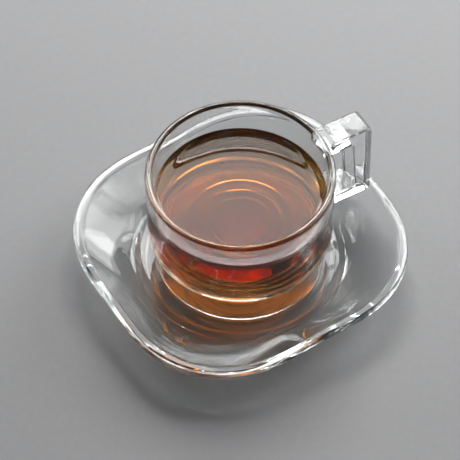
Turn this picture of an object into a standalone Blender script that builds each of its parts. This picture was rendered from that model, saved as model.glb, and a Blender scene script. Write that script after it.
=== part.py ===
"""Low glass tea cup with a squared loop handle, part filled with black tea, on a rounded-square glass saucer.

Metres, +Z up. The origin lies on the cup's axis at the saucer's underside, and the handle points along +X.
"""

import math

import bmesh
import bpy
from mathutils import Matrix

# Clearance between touching solids
GAP = 0.0003

# Cup, heights above its foot
RIM_RADIUS = 0.0400
CUP_HEIGHT = 0.0552
WALL = 0.0030
BODY_LOW_RADIUS = 0.0392
SHOULDER_ROUND = 0.0080
SHOULDER_CENTRE = 0.0199
SHOULDER_BOTTOM = 0.0137
FOOT_TOP_RADIUS = 0.0359
FOOT_RADIUS = 0.0365
FOOT_ROUND = 0.0020
FOOT_WALL = 0.0036
FLOOR_TOP = 0.0164
FLOOR_THICKNESS = 0.0060
FLOOR_BULGE = 0.0025
INNER_LOW_RADIUS = 0.0361
INNER_CORNER = 0.0060
RECESS_CORNER = 0.0025
RECESS_DRAFT = 0.0010

# Handle, reaches from the cup's axis and heights above the cup's foot
HANDLE_WIDTH = 0.0117
HANDLE_TOP = 0.0547
UPPER_ARM_UNDERSIDE = 0.0480
LOWER_ARM_TOP = 0.0197
HANDLE_BOTTOM = 0.0134
HANDLE_REACH_TOP = 0.0607
HANDLE_REACH_BOTTOM = 0.0612
GRIP_INSIDE_TOP = 0.0516
GRIP_INSIDE_BOTTOM = 0.0537
UPPER_ARM_ROOT = 0.0385
LOWER_ARM_ROOT = 0.0366
HANDLE_TOP_CORNER = 0.0026
HANDLE_BOTTOM_CORNER = 0.0020
GRIP_CORNER = 0.0008
HANDLE_EDGE_ROUND = 0.0007

# Tea, height above the cup's foot
TEA_LEVEL = 0.0387

# Saucer, heights above its underside
SAUCER_HEIGHT = 0.0175
SAUCER_MEAN_RADIUS = 0.0687
SAUCER_CORNER_REACH = 0.0041
SAUCER_CORNER_BLUNTNESS = 0.00024
SAUCER_OBLONG = 0.0013
SAUCER_CORNER_ANGLE = math.radians(48.0)
SAUCER_OBLONG_ANGLE = math.radians(19.0)
SAUCER_LAND = 0.0042
SAUCER_EDGE_HEIGHT = 0.0042
SAUCER_EDGE_ROUND = 0.0008
SAUCER_LAND_DROP = 0.0012
SAUCER_SLOPE_POWER = 1.35
WELL_RADIUS = 0.0420
WELL_TOP = 0.0045
BASE_UNDERSIDE = 0.0012
BASE_RING_RADIUS = 0.0425
BASE_RING_WIDTH = 0.0040
BASE_RING_ROUND = 0.0006
UNDER_SLOPE_START = 0.0438

# Facets
CUP_STEPS = 56
SAUCER_STEPS = 72
SLOPE_POINTS = 5
BULGE_POINTS = 4
SHARP_ANGLE = math.radians(35.0)
MERGE = 0.00001

# Where the cup's foot stands
CUP_BASE = WELL_TOP + GAP


def arc(centre, radius, start_degrees, end_degrees, steps):
    """Points (r, z) on an arc, both ends included."""
    points = []
    for i in range(steps + 1):
        angle = math.radians(start_degrees + (end_degrees - start_degrees) * i / steps)
        points.append((centre[0] + radius * math.cos(angle), centre[1] + radius * math.sin(angle)))
    return points


def cup_inner_radius(height):
    """The cup's inner radius between its floor's corner and its rim."""
    low = FLOOR_TOP + INNER_CORNER
    share = (height - low) / (CUP_HEIGHT - WALL / 2 - low)
    return INNER_LOW_RADIUS + (RIM_RADIUS - WALL - INNER_LOW_RADIUS) * share


def cup_profile():
    """The cup's half section, from the middle of its floor over the rim and the foot to the middle below."""
    ceiling = FLOOR_TOP - FLOOR_THICKNESS + FLOOR_BULGE
    recess = FOOT_RADIUS - FOOT_WALL
    bulge_radius = recess - RECESS_DRAFT - RECESS_CORNER
    shoulder_end = -math.degrees(math.asin((SHOULDER_CENTRE - SHOULDER_BOTTOM) / SHOULDER_ROUND))
    points = [(0.0, FLOOR_TOP)]
    points += arc((INNER_LOW_RADIUS - INNER_CORNER, FLOOR_TOP + INNER_CORNER), INNER_CORNER, -90, 0, 4)
    points += arc((RIM_RADIUS - WALL / 2, CUP_HEIGHT - WALL / 2), WALL / 2, 180, 0, 6)
    points += arc((BODY_LOW_RADIUS - SHOULDER_ROUND, SHOULDER_CENTRE), SHOULDER_ROUND, 0, shoulder_end, 4)
    points.append((FOOT_TOP_RADIUS, SHOULDER_BOTTOM - GAP))
    points += arc((FOOT_RADIUS - FOOT_ROUND, FOOT_ROUND), FOOT_ROUND, 0, -90, 3)
    points += [(recess + FOOT_ROUND / 4, 0.0), (recess, FOOT_ROUND / 4)]
    points += arc((bulge_radius, ceiling - RECESS_CORNER), RECESS_CORNER, 0, 90, 2)
    for i in range(1, BULGE_POINTS + 1):
        share = 1 - i / BULGE_POINTS
        points.append((bulge_radius * share, ceiling - FLOOR_BULGE * (1 - share ** 2)))
    return [(r, z + CUP_BASE) for r, z in points]


def tea_profile():
    """The tea's half section: level on top, and clear of the glass by the gap."""
    corner = INNER_CORNER - GAP
    points = [(0.0, TEA_LEVEL), (cup_inner_radius(TEA_LEVEL) - GAP, TEA_LEVEL)]
    points += arc((INNER_LOW_RADIUS - INNER_CORNER, FLOOR_TOP + INNER_CORNER), corner, 0, -90, 4)
    points.append((0.0, FLOOR_TOP + GAP))
    return [(r, z + CUP_BASE) for r, z in points]


def saucer_profile():
    """The saucer's half section at its mean radius, from the well over the rim and back underneath."""
    land_inside = SAUCER_MEAN_RADIUS - SAUCER_LAND
    edge_low = SAUCER_HEIGHT - SAUCER_EDGE_HEIGHT
    dish_top = SAUCER_HEIGHT - SAUCER_LAND_DROP
    ring_inside = BASE_RING_RADIUS - BASE_RING_WIDTH
    under_end = SAUCER_MEAN_RADIUS - SAUCER_EDGE_ROUND * 2
    points = [(0.0, WELL_TOP)]
    for i in range(SLOPE_POINTS + 1):
        share = i / SLOPE_POINTS
        rise = (dish_top - WELL_TOP) * share ** SAUCER_SLOPE_POWER
        points.append((WELL_RADIUS + (land_inside - WELL_RADIUS) * share, WELL_TOP + rise))
    points.append((land_inside + SAUCER_EDGE_ROUND, SAUCER_HEIGHT))
    high = (SAUCER_MEAN_RADIUS - SAUCER_EDGE_ROUND, SAUCER_HEIGHT - SAUCER_EDGE_ROUND)
    low = (SAUCER_MEAN_RADIUS - SAUCER_EDGE_ROUND, edge_low + SAUCER_EDGE_ROUND)
    points += arc(high, SAUCER_EDGE_ROUND, 90, 0, 2)
    points += arc(low, SAUCER_EDGE_ROUND, 0, -90, 2)
    for i in range(SLOPE_POINTS + 1):
        share = 1 - i / SLOPE_POINTS
        rise = (edge_low - BASE_UNDERSIDE) * share ** SAUCER_SLOPE_POWER
        points.append((UNDER_SLOPE_START + (under_end - UNDER_SLOPE_START) * share, BASE_UNDERSIDE + rise))
    points += [(BASE_RING_RADIUS, BASE_RING_ROUND), (BASE_RING_RADIUS - BASE_RING_ROUND, 0.0)]
    points += [(ring_inside + BASE_RING_ROUND, 0.0), (ring_inside, BASE_RING_ROUND)]
    points.append((ring_inside, BASE_UNDERSIDE))
    points.append((0.0, BASE_UNDERSIDE))
    return points


def saucer_outline(angle):
    """How far the saucer's rim stands outside its mean radius: four rounded corners, and slightly oblong."""
    corner = SAUCER_CORNER_REACH * math.cos(4 * (angle - SAUCER_CORNER_ANGLE))
    blunt = SAUCER_CORNER_BLUNTNESS * math.cos(8 * (angle - SAUCER_CORNER_ANGLE))
    oblong = SAUCER_OBLONG * math.cos(2 * (angle - SAUCER_OBLONG_ANGLE))
    return corner - blunt + oblong


def rounded_outline(corners, steps=3):
    """A closed outline whose corners (x, y, radius) are rounded by arcs; a radius of nought stays sharp."""
    points = []
    for i, (x, y, radius) in enumerate(corners):
        if radius == 0.0:
            points.append((x, y))
            continue
        sides = []
        for other in (corners[i - 1], corners[(i + 1) % len(corners)]):
            length = math.hypot(other[0] - x, other[1] - y)
            sides.append(((other[0] - x) / length, (other[1] - y) / length))
        cosine = sides[0][0] * sides[1][0] + sides[0][1] * sides[1][1]
        half = math.acos(cosine) / 2
        middle = (sides[0][0] + sides[1][0], sides[0][1] + sides[1][1])
        reach = radius / math.sin(half) / math.hypot(*middle)
        centre = (x + middle[0] * reach, y + middle[1] * reach)
        run = radius / math.tan(half)
        ends = [(x + side[0] * run, y + side[1] * run) for side in sides]
        start, end = (math.atan2(e[1] - centre[1], e[0] - centre[0]) for e in ends)
        sweep = (end - start + math.pi) % (2 * math.pi) - math.pi
        points += arc(centre, radius, math.degrees(start), math.degrees(start + sweep), steps)
    return points


def handle_corners():
    """The handle's side outline: a squared loop, open towards the cup, its grip thicker at the top."""
    return [
        (UPPER_ARM_ROOT, HANDLE_TOP, 0.0),
        (HANDLE_REACH_TOP, HANDLE_TOP, HANDLE_TOP_CORNER),
        (HANDLE_REACH_BOTTOM, HANDLE_BOTTOM, HANDLE_BOTTOM_CORNER),
        (LOWER_ARM_ROOT, HANDLE_BOTTOM, 0.0),
        (LOWER_ARM_ROOT, LOWER_ARM_TOP, 0.0),
        (GRIP_INSIDE_BOTTOM, LOWER_ARM_TOP, GRIP_CORNER),
        (GRIP_INSIDE_TOP, UPPER_ARM_UNDERSIDE, GRIP_CORNER),
        (UPPER_ARM_ROOT, UPPER_ARM_UNDERSIDE, 0.0),
    ]


def clear_scene():
    """Removes whatever the file opened with."""
    for obj in list(bpy.data.objects):
        bpy.data.objects.remove(obj)


def new_collection(name):
    """A collection linked into the scene."""
    collection = bpy.data.collections.new(name)
    bpy.context.scene.collection.children.link(collection)
    return collection


def material(name, colour, roughness, transmission, ior):
    """A clear material."""
    made = bpy.data.materials.new(name)
    made.use_nodes = True
    shader = made.node_tree.nodes["Principled BSDF"]
    shader.inputs["Base Color"].default_value = (*colour, 1.0)
    shader.inputs["Roughness"].default_value = roughness
    shader.inputs["Metallic"].default_value = 0.0
    shader.inputs["Transmission Weight"].default_value = transmission
    shader.inputs["IOR"].default_value = ior
    return made


def fix_shape(obj):
    """Turns an object's evaluated shape into its own mesh, welded and shaded smooth."""
    graph = bpy.context.evaluated_depsgraph_get()
    mesh = bpy.data.meshes.new_from_object(obj.evaluated_get(graph))
    shape = bmesh.new()
    shape.from_mesh(mesh)
    bmesh.ops.remove_doubles(shape, verts=shape.verts, dist=MERGE)
    shape.to_mesh(mesh)
    shape.free()
    mesh.shade_smooth()
    mesh.set_sharp_from_angle(angle=SHARP_ANGLE)
    return mesh


def turned(name, profile, steps, collection):
    """A solid turned about the Z axis from a half section that starts and ends on it."""
    mesh = bpy.data.meshes.new(name)
    edges = [(i, i + 1) for i in range(len(profile) - 1)]
    mesh.from_pydata([(r, 0.0, z) for r, z in profile], edges, [])
    obj = bpy.data.objects.new(name, mesh)
    collection.objects.link(obj)
    screw = obj.modifiers.new("turn", "SCREW")
    screw.steps = steps
    screw.render_steps = steps
    screw.use_merge_vertices = True
    screw.merge_threshold = MERGE
    obj.data = fix_shape(obj)
    obj.modifiers.clear()
    return obj


def make_handle(collection):
    """The handle as a bar of its own, with rounded long edges, run into the cup's wall."""
    outline = rounded_outline(handle_corners())
    curve = bpy.data.curves.new("handle", "CURVE")
    curve.dimensions = "2D"
    curve.fill_mode = "BOTH"
    curve.extrude = HANDLE_WIDTH / 2
    spline = curve.splines.new("POLY")
    spline.points.add(len(outline) - 1)
    for point, (x, y) in zip(spline.points, outline):
        point.co = (x, y, 0.0, 1.0)
    spline.use_cyclic_u = True
    flat = bpy.data.objects.new("handle_outline", curve)
    collection.objects.link(flat)
    stand = Matrix.Translation((0.0, 0.0, CUP_BASE)) @ Matrix.Rotation(math.radians(90.0), 4, "X")
    mesh = fix_shape(flat)
    mesh.transform(stand)
    bpy.data.objects.remove(flat)
    handle = bpy.data.objects.new("handle", mesh)
    collection.objects.link(handle)
    handle.hide_render = True
    handle.display_type = "WIRE"
    bevel = handle.modifiers.new("edges", "BEVEL")
    bevel.width = HANDLE_EDGE_ROUND
    bevel.segments = 2
    bevel.limit_method = "ANGLE"
    bevel.angle_limit = SHARP_ANGLE
    return handle


def make_cup(collection, guides, glass):
    """The cup and its handle, one piece of glass."""
    cup = turned("cup", cup_profile(), CUP_STEPS, collection)
    union = cup.modifiers.new("handle", "BOOLEAN")
    union.operation = "UNION"
    union.solver = "EXACT"
    union.object = make_handle(guides)
    cup.data = fix_shape(cup)
    cup.modifiers.clear()
    cup.data.materials.append(glass)
    return cup


def make_saucer(collection, glass):
    """The saucer: turned round, then its slope and rim drawn out to the rounded square."""
    saucer = turned("saucer", saucer_profile(), SAUCER_STEPS, collection)
    span = SAUCER_MEAN_RADIUS - SAUCER_LAND - WELL_RADIUS
    for vertex in saucer.data.vertices:
        radius = math.hypot(vertex.co.x, vertex.co.y)
        share = min(max((radius - UNDER_SLOPE_START) / span, 0.0), 1.0)
        if share > 0.0:
            grown = 1 + saucer_outline(math.atan2(vertex.co.y, vertex.co.x)) * share / radius
            vertex.co.x *= grown
            vertex.co.y *= grown
    saucer.data.materials.append(glass)
    return saucer


def make_tea(collection, liquor):
    """The tea up to its level."""
    tea = turned("tea", tea_profile(), CUP_STEPS, collection)
    tea.data.materials.append(liquor)
    return tea


def main():
    """Builds the cup, the saucer and the tea."""
    clear_scene()
    parts = new_collection("tea_cup_and_saucer")
    guides = new_collection("guides")
    cup_glass = material("cup_glass", (0.93, 0.96, 0.95), 0.02, 1.0, 1.5)
    saucer_glass = material("saucer_glass", (0.92, 0.96, 0.95), 0.03, 1.0, 1.5)
    liquor = material("black_tea", (0.26, 0.05, 0.01), 0.02, 0.7, 1.33)
    make_cup(parts, guides, cup_glass)
    make_saucer(parts, saucer_glass)
    make_tea(parts, liquor)


main()
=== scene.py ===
"""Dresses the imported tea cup: a cup and saucer of pressed glass, and the black tea in the cup.

Metres, +Z up. The cup's axis is the Z axis, its handle points along +X, and the saucer stands on Z = 0.
"""

import logging
import math
from dataclasses import dataclass
from enum import Enum
from typing import Any, Callable, Sequence, Union

import bmesh
import bpy
from mathutils import Matrix, Vector


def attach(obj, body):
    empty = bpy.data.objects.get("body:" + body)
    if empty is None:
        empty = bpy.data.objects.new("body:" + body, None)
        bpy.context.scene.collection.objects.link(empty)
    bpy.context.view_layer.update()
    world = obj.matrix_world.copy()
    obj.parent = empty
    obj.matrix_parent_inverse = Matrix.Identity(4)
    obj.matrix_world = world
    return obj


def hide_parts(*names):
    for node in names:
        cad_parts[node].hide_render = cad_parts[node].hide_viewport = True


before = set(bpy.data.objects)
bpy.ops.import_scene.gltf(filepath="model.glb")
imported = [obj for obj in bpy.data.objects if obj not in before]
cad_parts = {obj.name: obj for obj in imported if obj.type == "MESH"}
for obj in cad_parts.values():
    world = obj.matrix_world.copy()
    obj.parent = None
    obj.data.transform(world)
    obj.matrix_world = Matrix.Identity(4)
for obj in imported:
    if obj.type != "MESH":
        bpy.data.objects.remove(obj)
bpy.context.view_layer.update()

BODY = "root"
WELD = 0.000002
SHARP_EDGE = math.radians(35.0)
NOISE_ROUGHNESS = 0.55
WATTS_PER_BRIGHTNESS = 4.0
LOG = logging.getLogger("tea_cup")

Number = Union["Signal", float]
Colour = tuple[float, float, float]


class Slot(Enum):
    """The record's material slots."""

    CUP = "cup_glass"
    SAUCER = "saucer_glass"
    TEA = "black_tea"


class Node(Enum):
    """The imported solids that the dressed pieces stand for."""

    CUP = "cup"
    SAUCER = "saucer"
    TEA = "tea"


class Signal:
    """A number running through a material's nodes, worked on with Python's own arithmetic."""

    def __init__(self, tree: bpy.types.NodeTree, socket: bpy.types.NodeSocket) -> None:
        """Wraps an output socket.

        Args:
            tree: The node tree that it belongs to.
            socket: The socket.
        """
        self.tree = tree
        self.socket = socket

    def _maths(self, operation: str, first: Number, second: Number) -> "Signal":
        """Adds one Math node.

        Args:
            operation: The Math node's operation.
            first: Its first value, a number or another signal.
            second: Its second value.

        Returns:
            The node's result.
        """
        node = self.tree.nodes.new("ShaderNodeMath")
        node.operation = operation
        for socket, value in zip(node.inputs, (first, second)):
            if isinstance(value, Signal):
                self.tree.links.new(value.socket, socket)
            else:
                socket.default_value = value
        return Signal(self.tree, node.outputs[0])

    def __add__(self, other: Number) -> "Signal":
        """Self plus other."""
        return self._maths("ADD", self, other)

    def __radd__(self, other: Number) -> "Signal":
        """Other plus self."""
        return self._maths("ADD", other, self)

    def __sub__(self, other: Number) -> "Signal":
        """Self less other."""
        return self._maths("SUBTRACT", self, other)

    def __rsub__(self, other: Number) -> "Signal":
        """Other less self."""
        return self._maths("SUBTRACT", other, self)

    def __mul__(self, other: Number) -> "Signal":
        """Self times other."""
        return self._maths("MULTIPLY", self, other)

    def __rmul__(self, other: Number) -> "Signal":
        """Other times self."""
        return self._maths("MULTIPLY", other, self)

    def __pow__(self, other: Number) -> "Signal":
        """Self to the power of other."""
        return self._maths("POWER", self, other)

    def __rpow__(self, other: Number) -> "Signal":
        """Other to the power of self."""
        return self._maths("POWER", other, self)

    def between(self, low: Number, high: Number) -> "Signal":
        """Self held between low and high."""
        return self._maths("MINIMUM", self._maths("MAXIMUM", self, low), high)


class Shader:
    """The nodes of one material."""

    def __init__(self, name: str) -> None:
        """Makes a material with an empty node tree.

        Args:
            name: The material's name.
        """
        self.material = bpy.data.materials.new(name)
        self.material.use_nodes = True
        self.tree = self.material.node_tree
        self.tree.nodes.clear()
        self.place = self.node("ShaderNodeTexCoord").outputs["Object"]

    def node(
        self,
        kind: str,
        settings: dict[str, Any] | None = None,
        inputs: dict[str, Any] | None = None,
    ) -> bpy.types.Node:
        """Adds a node.

        Args:
            kind: The node's type.
            settings: Its properties, set first; stops is a ramp's list of (position, colour).
            inputs: Its sockets' values, or the signals and sockets that are linked to them.

        Returns:
            The node.
        """
        made = self.tree.nodes.new(kind)
        for name, value in (settings or {}).items():
            if name == "stops":
                ramp = made.color_ramp.elements
                while len(ramp) < len(value):
                    ramp.new(1.0)
                for element, (position, colour) in zip(ramp, value):
                    element.position = position
                    element.color = (*colour, 1.0)
            else:
                setattr(made, name, value)
        for name, value in (inputs or {}).items():
            socket = made.inputs[name]
            if isinstance(value, Signal):
                self.tree.links.new(value.socket, socket)
            elif isinstance(value, bpy.types.NodeSocket):
                self.tree.links.new(value, socket)
            else:
                socket.default_value = value
        return made

    def stretched(self, scale: Sequence[float]) -> bpy.types.NodeSocket:
        """The place on the object, multiplied along X, Y and Z by scale."""
        return self.node("ShaderNodeMapping", {}, {"Vector": self.place, "Scale": scale}).outputs["Vector"]

    def noise(self, size: float, detail: float, stretch: Sequence[float] = (1.0, 1.0, 1.0)) -> Signal:
        """Soft random patches.

        Args:
            size: The patches' rough size in metres.
            detail: How many finer layers they have.
            stretch: How much denser they lie along X, Y and Z.

        Returns:
            A signal from 0 to 1.
        """
        made = self.node(
            "ShaderNodeTexNoise",
            {"noise_dimensions": "3D"},
            {
                "Vector": self.stretched(stretch),
                "Scale": 1.0 / size,
                "Detail": detail,
                "Roughness": NOISE_ROUGHNESS,
            },
        )
        return Signal(self.tree, made.outputs[0])

    def reach(self) -> Signal:
        """How far a place on the object is from the Z axis.

        Returns:
            The distance in metres.
        """
        flat = self.stretched((1.0, 1.0, 0.0))
        made = self.node("ShaderNodeVectorMath", {"operation": "LENGTH"}, {"Vector": flat})
        return Signal(self.tree, made.outputs["Value"])

    def ramp(self, signal: Signal, stops: Sequence[tuple[float, Colour]]) -> bpy.types.NodeSocket:
        """A signal turned into colours.

        Args:
            signal: What drives the ramp.
            stops: Its positions and colours.

        Returns:
            The colour socket.
        """
        return self.node("ShaderNodeValToRGB", {"stops": stops}, {"Fac": signal}).outputs["Color"]

    def bump(self, height: Signal, relief: float) -> bpy.types.NodeSocket:
        """A relief given by a signal.

        Args:
            height: The relief's height, from 0 to 1.
            relief: How far a height of 1 stands up, in metres.

        Returns:
            The normal socket.
        """
        made = self.node("ShaderNodeBump", {}, {"Height": height, "Distance": relief, "Strength": 1.0})
        return made.outputs["Normal"]

    def finish(self, surface: dict[str, Any], volume: dict[str, Any] | None = None) -> bpy.types.Material:
        """Closes the material with its surface and, for a clear one, what it soaks up.

        Args:
            surface: The Principled shader's sockets.
            volume: The Volume Absorption shader's sockets.

        Returns:
            The material.
        """
        output = self.node("ShaderNodeOutputMaterial")
        skin = self.node("ShaderNodeBsdfPrincipled", {}, surface)
        self.tree.links.new(skin.outputs["BSDF"], output.inputs["Surface"])
        if volume:
            inside = self.node("ShaderNodeVolumeAbsorption", {}, volume)
            self.tree.links.new(inside.outputs["Volume"], output.inputs["Volume"])
        return self.material


@dataclass(frozen=True)
class PressedGlass:
    """Clear pressed glass: polished, a little wavy from the mould, with faint smears where it is handled."""

    name: str
    pale: Colour
    deep: Colour
    soaked_colour: Colour
    soaked_density: float
    polish: float
    smear_size: float
    smear: float
    wave_size: float
    wave_height: float
    smear_power: float = 3.0
    smear_full: float = 0.6
    grain_fineness: float = 9.0
    grain_share: float = 0.3
    ripple_fineness: float = 3.0
    ripple_share: float = 0.2
    handle_wave: float = 0.0
    handle_start: float = 0.0425
    handle_blend: float = 0.0025
    refraction: float = 1.5

    def material(self) -> bpy.types.Material:
        """Makes the material, with waves that are stronger on what stands out past handle_start.

        Returns:
            The material.
        """
        shader = Shader(self.name)
        smear = shader.noise(self.smear_size, detail=4.0) ** self.smear_power
        grain = shader.noise(self.smear_size / self.grain_fineness, detail=2.0)
        ripple = shader.noise(self.wave_size / self.ripple_fineness, detail=1.0)
        wave = shader.noise(self.wave_size, detail=1.0) + ripple * self.ripple_share
        handle = ((shader.reach() - self.handle_start) * (1.0 / self.handle_blend)).between(0.0, 1.0)
        wave = wave * (handle * self.handle_wave + 1.0)
        stops = [(0.0, self.pale), (self.smear_full, self.deep)]
        return shader.finish(
            {
                "Base Color": shader.ramp(smear + grain * self.grain_share, stops),
                "Roughness": smear * (grain * 0.5 + 0.5) * self.smear + self.polish,
                "IOR": self.refraction,
                "Transmission Weight": 1.0,
                "Normal": shader.bump(wave, self.wave_height),
            },
            {"Color": (*self.soaked_colour, 1.0), "Density": self.soaked_density},
        )


@dataclass(frozen=True)
class BlackTea:
    """Black tea: a clear liquor that deepens from amber to dark red-brown, with a thin uneven film on top."""

    name: str
    soaked_colour: Colour
    soaked_density: float
    film_size: float
    film: float
    film_height: float
    haze_fineness: float = 6.0
    clear: Colour = (0.99, 0.97, 0.94)
    filmed: Colour = (0.97, 0.94, 0.90)
    refraction: float = 1.333

    def material(self) -> bpy.types.Material:
        """Makes the material.

        Returns:
            The material.
        """
        shader = Shader(self.name)
        film = shader.noise(self.film_size, detail=3.0)
        haze = shader.noise(self.film_size / self.haze_fineness, detail=2.0)
        return shader.finish(
            {
                "Base Color": shader.ramp(film, [(0.3, self.clear), (0.7, self.filmed)]),
                "Roughness": (film * haze) ** 2.0 * self.film,
                "IOR": self.refraction,
                "Transmission Weight": 1.0,
                "Normal": shader.bump(film, self.film_height),
            },
            {"Color": (*self.soaked_colour, 1.0), "Density": self.soaked_density},
        )


@dataclass(frozen=True)
class WetLeaf:
    """A crumb of brewed tea leaf: dark brown, veined and wet."""

    name: str = "wet_tea_leaf"
    dark: Colour = (0.018, 0.008, 0.004)
    light: Colour = (0.075, 0.032, 0.014)
    vein_size: float = 0.0002
    vein_height: float = 0.00003
    smoothest: float = 0.25
    roughest: float = 0.65
    grain: tuple[float, float, float] = (1.0, 3.0, 1.0)

    def material(self) -> bpy.types.Material:
        """Makes the material.

        Returns:
            The material.
        """
        shader = Shader(self.name)
        veins = shader.noise(self.vein_size, detail=4.0, stretch=self.grain)
        return shader.finish(
            {
                "Base Color": shader.ramp(veins, [(0.3, self.dark), (0.7, self.light)]),
                "Roughness": veins * (self.roughest - self.smoothest) + self.smoothest,
                "Normal": shader.bump(veins, self.vein_height),
            }
        )


@dataclass(frozen=True)
class PaleTable:
    """The plain pale floor."""

    name: str = "pale_floor"
    colour: Colour = (0.36, 0.36, 0.365)
    darkest: float = 0.96
    grain_size: float = 0.003
    roughness: float = 0.6
    shine: float = 0.2

    def material(self) -> bpy.types.Material:
        """Makes the material.

        Returns:
            The material.
        """
        shader = Shader(self.name)
        grain = shader.noise(self.grain_size, detail=3.0)
        darker = tuple(part * self.darkest for part in self.colour)
        return shader.finish(
            {
                "Base Color": shader.ramp(grain, [(0.3, darker), (0.7, self.colour)]),
                "Roughness": grain * 0.1 + self.roughness,
                "Specular IOR Level": self.shine,
            }
        )


@dataclass(frozen=True)
class Corner:
    """One corner of an outline: its distance from the axis, its height, and how round it is."""

    radius: float
    height: float
    rounding: float = 0.0
    steps: int = 1


def round_corner(
    shape: bmesh.types.BMesh,
    point: bmesh.types.BMVert,
    before: Vector,
    after: Vector,
    corner: Corner,
) -> None:
    """Rounds one corner of an outline.

    Args:
        shape: The outline's mesh.
        point: The corner's vertex.
        before: Where the corner before it is.
        after: Where the corner after it is.
        corner: The corner's sizes.
    """
    half = (before - point.co).angle(after - point.co) / 2
    bmesh.ops.bevel(
        shape,
        geom=[point],
        offset=corner.rounding / math.tan(half),
        segments=corner.steps,
        profile=0.5,
        affect="VERTICES",
        material=-1,
    )


class Lathe:
    """Turns a half section about the Z axis."""

    def __init__(self, corners: Sequence[Corner], lift: float = 0.0) -> None:
        """Draws the section as a chain of edges in the XZ plane.

        Args:
            corners: The section's corners in order, with the first and last on the axis.
            lift: How far the whole section is raised.
        """
        self.shape = bmesh.new()
        points = [self.shape.verts.new((c.radius, 0.0, c.height + lift)) for c in corners]
        for start, end in zip(points, points[1:]):
            self.shape.edges.new((start, end))
        places = [point.co.copy() for point in points]
        for before, point, after, corner in zip(places, points[1:], places[2:], corners[1:]):
            if corner.rounding:
                round_corner(self.shape, point, before, after, corner)
        bmesh.ops.remove_doubles(self.shape, verts=self.shape.verts, dist=WELD)

    def refine(self, longest: float, where: Callable[[Vector], bool] = lambda middle: True) -> None:
        """Splits long edges of the section into short ones.

        Args:
            longest: The length that an edge may keep, in metres.
            where: Says by its middle whether an edge is split.
        """
        for edge in list(self.shape.edges):
            if edge.calc_length() > longest and where((edge.verts[0].co + edge.verts[1].co) / 2):
                cuts = math.ceil(edge.calc_length() / longest) - 1
                bmesh.ops.subdivide_edges(self.shape, edges=[edge], cuts=cuts)

    def shift(self, move: Callable[[Vector], float]) -> None:
        """Raises each point of the section by what move gives for it."""
        for point in self.shape.verts:
            point.co.z += move(point.co)

    def turn(self, steps: int) -> bmesh.types.BMesh:
        """Turns the section full circle.

        Args:
            steps: How many flats the circle has.

        Returns:
            The closed shape, with its faces outwards.
        """
        bmesh.ops.spin(
            self.shape,
            geom=self.shape.verts[:] + self.shape.edges[:],
            cent=(0.0, 0.0, 0.0),
            axis=(0.0, 0.0, 1.0),
            angle=math.tau,
            steps=steps,
            use_merge=True,
        )
        bmesh.ops.remove_doubles(self.shape, verts=self.shape.verts, dist=WELD)
        bmesh.ops.recalc_face_normals(self.shape, faces=self.shape.faces)
        return self.shape


def make_piece(name: str, shape: bmesh.types.BMesh, material: bpy.types.Material) -> bpy.types.Object:
    """Makes an object of a finished shape, smooth but for its sharp edges.

    Args:
        name: The piece's name.
        shape: The shape, which is freed.
        material: Its material.

    Returns:
        The object, at the origin.
    """
    mesh = bpy.data.meshes.new(name)
    shape.to_mesh(mesh)
    shape.free()
    mesh.shade_smooth()
    mesh.set_sharp_from_angle(angle=SHARP_EDGE)
    mesh.materials.append(material)
    piece = bpy.data.objects.new(name, mesh)
    bpy.context.scene.collection.objects.link(piece)
    return piece


def report(piece: bpy.types.Object) -> None:
    """Logs how a finished piece came out."""
    LOG.info("%s: %d vertices, %d faces", piece.name, len(piece.data.vertices), len(piece.data.polygons))


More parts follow.
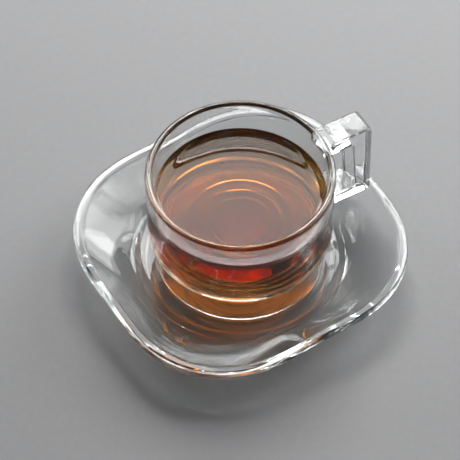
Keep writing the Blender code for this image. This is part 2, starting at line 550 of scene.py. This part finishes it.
@dataclass
class TeaCup:
    """The cup and its handle, one piece of glass. Heights are above the cup's foot."""

    finish: PressedGlass
    base: float = 0.0048
    rim_radius: float = 0.0400
    height: float = 0.0552
    wall: float = 0.0030
    body_low_radius: float = 0.0392
    shoulder_height: float = 0.0161
    shoulder_round: float = 0.0080
    groove_radius: float = 0.0360
    groove_height: float = 0.0135
    groove_round: float = 0.0006
    foot_radius: float = 0.0365
    foot_round: float = 0.0020
    foot_wall: float = 0.0036
    floor_top: float = 0.0164
    floor_thickness: float = 0.0060
    floor_bulge: float = 0.0025
    inner_low_radius: float = 0.0361
    inner_corner: float = 0.0060
    recess_corner: float = 0.0025
    recess_draft: float = 0.0010
    ring_radii: tuple[float, ...] = (0.0130, 0.0172, 0.0222)
    ring_width: float = 0.0016
    ring_depth: float = 0.0006
    recess_edge: float = 0.0008
    handle_top: float = 0.0547
    upper_arm_underside: float = 0.0480
    lower_arm_top: float = 0.0197
    handle_bottom: float = 0.0134
    handle_reach_top: float = 0.0607
    handle_reach_bottom: float = 0.0612
    grip_inside_top: float = 0.0516
    grip_inside_bottom: float = 0.0537
    upper_arm_root: float = 0.0385
    lower_arm_root: float = 0.0366
    handle_top_corner: float = 0.0026
    handle_bottom_corner: float = 0.0020
    grip_corner: float = 0.0008
    handle_half_width: float = 0.00585
    handle_edge: float = 0.0008
    handle_edge_start: float = 0.0390
    handle_edge_steps: int = 5
    turns: int = 256
    round_steps: int = 14
    rim_steps: int = 9
    foot_steps: int = 12
    handle_steps: int = 8
    small_steps: int = 6
    longest_edge: float = 0.0016
    ring_edge: float = 0.00025

    def inner_radius(self, height: float) -> float:
        """The cup's inner radius between its floor's corner and its rim.

        Args:
            height: Where it is wanted, above the cup's foot.

        Returns:
            The radius.
        """
        low = self.floor_top + self.inner_corner
        share = (height - low) / (self.height - self.wall / 2 - low)
        return self.inner_low_radius + (self.rim_radius - self.wall - self.inner_low_radius) * share

    def ceiling(self) -> float:
        """The height of the floor's underside at its edge, before the bulge."""
        return self.floor_top - self.floor_thickness + self.floor_bulge

    def section(self) -> list[Corner]:
        """Draws the half section from the middle of the floor over the rim and the foot to the middle below.

        Returns:
            Its corners.
        """
        recess = self.foot_radius - self.foot_wall
        half = self.wall / 2
        return [
            Corner(0.0, self.floor_top),
            Corner(self.inner_low_radius, self.floor_top, self.inner_corner, self.round_steps),
            Corner(self.rim_radius - self.wall, self.height, half, self.rim_steps),
            Corner(self.rim_radius, self.height, half, self.rim_steps),
            Corner(self.body_low_radius, self.shoulder_height, self.shoulder_round, self.round_steps),
            Corner(self.groove_radius, self.groove_height, self.groove_round, self.small_steps),
            Corner(self.foot_radius, 0.0, self.foot_round, self.foot_steps),
            Corner(recess, 0.0, self.recess_edge, self.small_steps),
            Corner(recess - self.recess_draft, self.ceiling(), self.recess_corner, self.foot_steps),
            Corner(0.0, self.ceiling()),
        ]

    def underneath(self, point: Vector) -> float:
        """Shapes the floor's underside: down for its bulge, and up in the rings that the mould leaves.

        Args:
            point: A point of the section.

        Returns:
            How far it moves up, which is nought anywhere else.
        """
        edge = self.foot_radius - self.foot_wall - self.recess_draft - self.recess_corner
        if abs(point.z - self.base - self.ceiling()) > WELD * 10 or point.x > edge:
            return 0.0
        away = min(min(abs(point.x - radius) for radius in self.ring_radii) / self.ring_width, 1.0)
        ring = self.ring_depth * math.cos(away * math.pi / 2) ** 2
        return ring - self.floor_bulge * (1 - (point.x / edge) ** 2)

    def body(self) -> bmesh.types.BMesh:
        """Makes the cup without its handle.

        Returns:
            The cup's shape.
        """
        lathe = Lathe(self.section(), self.base)
        ceiling = self.base + self.ceiling()
        lathe.refine(self.ring_edge, lambda middle: abs(middle.z - ceiling) < WELD)
        lathe.refine(self.longest_edge)
        lathe.shift(self.underneath)
        return lathe.turn(self.turns)

    def handle_corners(self) -> list[Corner]:
        """Draws the handle from the side: a squared loop, open towards the cup, its grip thicker at the top.

        Returns:
            Its corners.
        """
        large, small = self.handle_steps, self.small_steps
        return [
            Corner(self.upper_arm_root, self.handle_top),
            Corner(self.handle_reach_top, self.handle_top, self.handle_top_corner, large),
            Corner(self.handle_reach_bottom, self.handle_bottom, self.handle_bottom_corner, large),
            Corner(self.lower_arm_root, self.handle_bottom),
            Corner(self.lower_arm_root, self.lower_arm_top),
            Corner(self.grip_inside_bottom, self.lower_arm_top, self.grip_corner, small),
            Corner(self.grip_inside_top, self.upper_arm_underside, self.grip_corner, small),
            Corner(self.upper_arm_root, self.upper_arm_underside),
        ]

    def handle(self) -> bmesh.types.BMesh:
        """Makes the handle as a bar of its own that runs into the cup's wall.

        Returns:
            The bar's shape.
        """
        shape = bmesh.new()
        corners = self.handle_corners()
        points = [shape.verts.new((c.radius, -self.handle_half_width, c.height + self.base)) for c in corners]
        shape.faces.new(points)
        places = [point.co.copy() for point in points]
        for i, corner in enumerate(corners):
            if corner.rounding:
                round_corner(shape, points[i], places[i - 1], places[(i + 1) % len(places)], corner)
        side = shape.faces[:]
        moved = bmesh.ops.extrude_face_region(shape, geom=side)["geom"]
        far = [item for item in moved if isinstance(item, bmesh.types.BMVert)]
        bmesh.ops.translate(shape, verts=far, vec=(0.0, self.handle_half_width * 2, 0.0))
        bmesh.ops.recalc_face_normals(shape, faces=shape.faces)
        along = [edge for edge in shape.edges if abs(edge.verts[0].co.y - edge.verts[1].co.y) < WELD]
        clear = [edge for edge in along if max(v.co.x for v in edge.verts) > self.handle_edge_start]
        bmesh.ops.bevel(
            shape,
            geom=clear,
            offset=self.handle_edge,
            segments=self.handle_edge_steps,
            profile=0.5,
            affect="EDGES",
            material=-1,
            clamp_overlap=True,
        )
        return shape

    def build(self) -> bpy.types.Object:
        """Makes the cup with its handle run into it, and dresses it.

        Returns:
            The cup.
        """
        glass = self.finish.material()
        cup = make_piece("tea_cup", self.body(), glass)
        bar = make_piece("handle_bar", self.handle(), glass)
        union = cup.modifiers.new("handle", "BOOLEAN")
        union.operation = "UNION"
        union.solver = "EXACT"
        union.object = bar
        joined = bpy.data.meshes.new_from_object(cup.evaluated_get(bpy.context.evaluated_depsgraph_get()))
        cup.modifiers.clear()
        bpy.data.objects.remove(bar)
        shape = bmesh.new()
        shape.from_mesh(joined)
        bpy.data.objects.remove(cup)
        bmesh.ops.remove_doubles(shape, verts=shape.verts, dist=WELD)
        cup = make_piece("pressed_glass_cup", shape, glass)
        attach(cup, BODY)
        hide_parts(Node.CUP.value)
        report(cup)
        return cup


@dataclass
class Saucer:
    """The rounded-square saucer. Heights are above its underside."""

    finish: PressedGlass
    height: float = 0.0175
    mean_radius: float = 0.06868
    corner_reach: float = 0.0041
    corner_bluntness: float = 0.00024
    oblong: float = 0.0013
    corner_angle: float = math.radians(48.0)
    oblong_angle: float = math.radians(19.0)
    land: float = 0.0042
    land_drop: float = 0.0012
    edge_height: float = 0.0042
    edge_round: float = 0.0008
    slope_power: float = 1.35
    well_radius: float = 0.0420
    well_top: float = 0.0045
    underside: float = 0.0012
    ring_radius: float = 0.0425
    ring_flat: float = 0.0020
    ring_slope: float = 0.0032
    ring_round: float = 0.0050
    under_start: float = 0.0455
    land_round: float = 0.0006
    turns: int = 288
    round_steps: int = 8
    land_steps: int = 6
    longest_edge: float = 0.0008

    def section(self) -> list[Corner]:
        """Draws the half section at the mean radius, with its slopes still straight.

        Returns:
            Its corners.
        """
        land_inside = self.mean_radius - self.land
        edge_low = self.height - self.edge_height
        ring_outside = self.ring_radius - self.underside
        ring_inside = ring_outside - self.ring_flat
        steps = self.round_steps
        return [
            Corner(0.0, self.well_top),
            Corner(self.well_radius, self.well_top),
            Corner(land_inside, self.height - self.land_drop),
            Corner(land_inside + self.edge_round, self.height, self.land_round, self.land_steps),
            Corner(self.mean_radius, self.height, self.edge_round, steps),
            Corner(self.mean_radius, edge_low, self.edge_round, steps),
            Corner(self.mean_radius - self.edge_round * 2, edge_low),
            Corner(self.under_start, self.underside, self.ring_round, steps),
            Corner(ring_outside, 0.0, self.ring_round, steps),
            Corner(ring_inside, 0.0, self.ring_round, steps),
            Corner(ring_inside - self.ring_slope, self.underside, self.ring_round, steps),
            Corner(0.0, self.underside),
        ]

    def slope(self, point: Vector) -> float:
        """Curves the two straight slopes of the section.

        Args:
            point: A point of the section.

        Returns:
            How far it moves up, which is nought off the slopes.
        """
        land_inside = self.mean_radius - self.land
        under_end = self.mean_radius - self.edge_round * 2
        runs = (
            (self.well_radius, self.well_top, land_inside, self.height - self.land_drop),
            (self.under_start, self.underside, under_end, self.height - self.edge_height),
        )
        for start, low, end, high in runs:
            share = (point.x - start) / (end - start)
            straight = low + (high - low) * share
            if 0.0 < share < 1.0 and abs(point.z - straight) < WELD:
                return (high - low) * (share**self.slope_power - share)
        return 0.0

    def outline(self, angle: float) -> float:
        """Gives the rim its four rounded corners, slightly oblong.

        Args:
            angle: The direction from the axis, from +X.

        Returns:
            How far the rim stands outside its mean radius.
        """
        corner = self.corner_reach * math.cos(4 * (angle - self.corner_angle))
        blunt = self.corner_bluntness * math.cos(8 * (angle - self.corner_angle))
        return corner - blunt + self.oblong * math.cos(2 * (angle - self.oblong_angle))

    def build(self) -> bpy.types.Object:
        """Makes the saucer, turned round and then drawn out to its rounded square, and dresses it.

        Returns:
            The saucer.
        """
        lathe = Lathe(self.section())
        lathe.refine(self.longest_edge)
        lathe.shift(self.slope)
        shape = lathe.turn(self.turns)
        span = self.mean_radius - self.land - self.well_radius
        for point in shape.verts:
            radius = math.hypot(point.co.x, point.co.y)
            share = min(max((radius - self.under_start) / span, 0.0), 1.0)
            if share > 0.0:
                grown = 1 + self.outline(math.atan2(point.co.y, point.co.x)) * share / radius
                point.co.x *= grown
                point.co.y *= grown
        saucer = make_piece("pressed_glass_saucer", shape, self.finish.material())
        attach(saucer, BODY)
        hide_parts(Node.SAUCER.value)
        report(saucer)
        return saucer


@dataclass
class Liquor:
    """The tea in the cup. Heights are above the cup's foot."""

    finish: BlackTea
    cup: TeaCup
    level: float = 0.0387
    climb: float = 0.00115
    climb_reach: float = 0.0027
    into_glass: float = 0.00015
    turns: int = 256
    surface_edge: float = 0.0003
    longest_edge: float = 0.0016

    def build(self) -> bpy.types.Object:
        """Makes the tea, level in the middle and drawn up at the glass, which it reaches just into.

        Returns:
            The tea.
        """
        cup = self.cup
        wall = cup.inner_radius(self.level) + self.into_glass
        low_wall = cup.inner_low_radius + self.into_glass
        bottom = cup.floor_top - self.into_glass
        section = [
            Corner(0.0, self.level),
            Corner(wall, self.level),
            Corner(low_wall, bottom, cup.inner_corner + self.into_glass, cup.round_steps),
            Corner(0.0, bottom),
        ]
        lathe = Lathe(section, cup.base)
        lathe.refine(self.surface_edge, lambda middle: abs(middle.z - self.level - cup.base) < WELD)
        lathe.refine(self.longest_edge)
        top = self.level + cup.base - WELD

        def drawn_up(point: Vector) -> float:
            """How far a point of the surface climbs near the glass."""
            return self.climb * math.exp(-(wall - point.x) / self.climb_reach) if point.z > top else 0.0

        lathe.shift(drawn_up)
        tea = make_piece("black_tea", lathe.turn(self.turns), self.finish.material())
        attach(tea, BODY)
        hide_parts(Node.TEA.value)
        report(tea)
        return tea


@dataclass
class LeafCrumb:
    """A crumb of tea leaf afloat on the tea."""

    finish: WetLeaf
    name: str
    place: tuple[float, float]
    length: float
    width: float
    turned: float
    surface: float
    thickness: float = 0.00022
    afloat: float = 0.00016
    taper: float = 1.3
    curl: float = 0.35
    crinkle: float = 0.10
    crinkle_turns: float = 9.0

    def build(self) -> bpy.types.Object:
        """Makes the crumb as a thin curled flake that rides on the surface.

        Returns:
            The crumb.
        """
        shape = bmesh.new()
        bmesh.ops.create_grid(shape, x_segments=7, y_segments=4, size=0.5)
        for point in shape.verts:
            point.co.y *= 1.0 - self.taper * point.co.x**2
            crinkle = self.crinkle * math.sin(point.co.x * self.crinkle_turns) * point.co.y
            point.co.z = self.curl * point.co.x**2 + crinkle
        bmesh.ops.scale(shape, verts=shape.verts, vec=(self.length, self.width, self.length))
        bmesh.ops.solidify(shape, geom=shape.faces[:], thickness=self.thickness)
        bmesh.ops.recalc_face_normals(shape, faces=shape.faces)
        place = Matrix.Translation((*self.place, self.surface + self.afloat))
        bmesh.ops.transform(shape, verts=shape.verts, matrix=place @ Matrix.Rotation(self.turned, 4, "Z"))
        crumb = make_piece(self.name, shape, self.finish.material())
        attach(crumb, BODY)
        report(crumb)
        return crumb


@dataclass
class Softbox:
    """A rectangular soft light. Its bearing runs from behind the cup towards the picture's right."""

    name: str
    bearing: float
    elevation: float
    distance: float
    width: float
    height: float
    brightness: float
    colour: Colour = (1.0, 1.0, 1.0)


@dataclass
class Studio:
    """The camera, the floor and the lights."""

    table: PaleTable
    azimuth: float = math.radians(-29.5)
    elevation: float = math.radians(52.77)
    distance: float = 1.2482
    lens: float = 234.78
    sensor: float = 36.0
    aim_height: float = 0.0590
    aim_right: float = -0.00436
    aim_up: float = -0.02304
    floor_size: float = 3.0
    floor_level: float = -0.0002
    light_aim: float = 0.03
    world_colour: Colour = (0.085, 0.088, 0.092)
    softboxes: tuple[Softbox, ...] = (
        Softbox("back_softbox", math.radians(8.0), math.radians(43.0), 1.0, 0.47, 0.26, 10.5),
        Softbox("back_softbox_top", math.radians(8.0), math.radians(55.5), 1.0, 0.47, 0.17, 5.9),
        Softbox("back_softbox_strip", math.radians(-11.5), math.radians(43.0), 1.0, 0.16, 0.26, 10.0),
        Softbox("side_softbox", math.radians(57.0), math.radians(36.0), 1.0, 0.65, 0.57, 3.3),
        Softbox("corner_softbox", math.radians(34.0), math.radians(20.0), 1.0, 0.42, 0.39, 2.8),
        Softbox("left_softbox", math.radians(-58.0), math.radians(33.0), 1.0, 0.40, 0.15, 4.5),
    )

    def axes(self) -> tuple[Vector, Vector]:
        """Finds the picture's own directions.

        Returns:
            Its right, and its level way forwards.
        """
        right = Vector((math.cos(self.azimuth), math.sin(self.azimuth), 0.0))
        return right, Vector((-right.y, right.x, 0.0))

    def camera(self) -> bpy.types.Object:
        """Makes the camera at the photograph's viewing angle.

        Returns:
            The camera.
        """
        right, level = self.axes()
        sine, cosine = math.sin(self.elevation), math.cos(self.elevation)
        forward = level * cosine - Vector((0.0, 0.0, sine))
        upward = level * sine + Vector((0.0, 0.0, cosine))
        target = Vector((0.0, 0.0, self.aim_height)) + right * self.aim_right + upward * self.aim_up
        data = bpy.data.cameras.new("camera")
        data.lens = self.lens
        data.sensor_width = self.sensor
        camera = bpy.data.objects.new("camera", data)
        camera.location = target - forward * self.distance
        camera.rotation_euler = forward.to_track_quat("-Z", "Y").to_euler()
        bpy.context.scene.collection.objects.link(camera)
        bpy.context.scene.camera = camera
        return camera

    def light(self, box: Softbox) -> bpy.types.Object:
        """Hangs one softbox so that it faces the cup.

        Args:
            box: Where it hangs, its size and its brightness.

        Returns:
            The light.
        """
        right, level = self.axes()
        around = level * math.cos(box.bearing) + right * math.sin(box.bearing)
        way = around * math.cos(box.elevation) + Vector((0.0, 0.0, math.sin(box.elevation)))
        data = bpy.data.lights.new(box.name, "AREA")
        data.shape = "RECTANGLE"
        data.size = box.width
        data.size_y = box.height
        data.energy = box.brightness * WATTS_PER_BRIGHTNESS * box.width * box.height
        data.color = box.colour
        light = bpy.data.objects.new(box.name, data)
        light.location = Vector((0.0, 0.0, self.light_aim)) + way * box.distance
        light.rotation_euler = (-way).to_track_quat("-Z", "Y").to_euler()
        bpy.context.scene.collection.objects.link(light)
        return light

    def floor(self) -> bpy.types.Object:
        """Lays the floor.

        Returns:
            The floor.
        """
        shape = bmesh.new()
        bmesh.ops.create_grid(shape, x_segments=1, y_segments=1, size=self.floor_size)
        bmesh.ops.translate(shape, verts=shape.verts, vec=(0.0, 0.0, self.floor_level))
        floor = make_piece("floor", shape, self.table.material())
        return floor

    def world(self) -> None:
        """Gives the room round the softboxes its dim grey."""
        world = bpy.data.worlds.new("studio")
        world.use_nodes = True
        world.node_tree.nodes["Background"].inputs["Color"].default_value = (*self.world_colour, 1.0)
        bpy.context.scene.world = world

    def look(self) -> None:
        """Sets how the light runs through clear things, and how the picture is developed."""
        scene = bpy.context.scene
        scene.view_settings.view_transform = "Standard"
        scene.cycles.max_bounces = 32
        scene.cycles.transmission_bounces = 28
        scene.cycles.glossy_bounces = 12
        scene.cycles.diffuse_bounces = 3
        scene.cycles.caustics_refractive = True
        scene.cycles.caustics_reflective = True
        scene.cycles.blur_glossy = 0.3
        scene.cycles.sample_clamp_indirect = 12.0
        scene.cycles.use_denoising = True

    def build(self) -> None:
        """Sets up the whole studio."""
        self.camera()
        self.floor()
        self.world()
        for box in self.softboxes:
            self.light(box)
        self.look()


CUP_GLASS = PressedGlass(
    name="cup_glass",
    pale=(0.985, 0.990, 0.988),
    deep=(0.965, 0.975, 0.972),
    soaked_colour=(0.78, 0.84, 0.83),
    soaked_density=9.0,
    polish=0.0,
    smear_size=0.030,
    smear=0.05,
    wave_size=0.014,
    wave_height=0.00002,
    handle_wave=30.0,
)
SAUCER_GLASS = PressedGlass(
    name="saucer_glass",
    pale=(0.980, 0.988, 0.986),
    deep=(0.955, 0.970, 0.966),
    soaked_colour=(0.77, 0.83, 0.82),
    soaked_density=9.0,
    polish=0.002,
    smear_size=0.040,
    smear=0.10,
    wave_size=0.018,
    wave_height=0.00001,
)
TEA = BlackTea(
    name="black_tea",
    soaked_colour=(0.792, 0.564, 0.014),
    soaked_density=218.0,
    film_size=0.012,
    film=0.05,
    film_height=0.000006,
)


def main() -> None:
    """Builds the studio and every piece in order."""
    logging.basicConfig(level=logging.INFO, format="%(name)s %(message)s")
    Studio(PaleTable()).build()
    cup = TeaCup(CUP_GLASS)
    cup.build()
    Saucer(SAUCER_GLASS).build()
    liquor = Liquor(TEA, cup)
    liquor.build()
    surface = cup.base + liquor.level
    LeafCrumb(
        WetLeaf(),
        "tea_leaf_crumb_1",
        place=(0.0026, 0.0200),
        length=0.0010,
        width=0.0008,
        turned=0.6,
        surface=surface,
    ).build()
    LeafCrumb(
        WetLeaf("wet_tea_leaf_small"),
        "tea_leaf_crumb_2",
        place=(0.0048, 0.0199),
        length=0.0005,
        width=0.0003,
        turned=2.1,
        surface=surface,
    ).build()


if __name__ == "__main__":
    main()
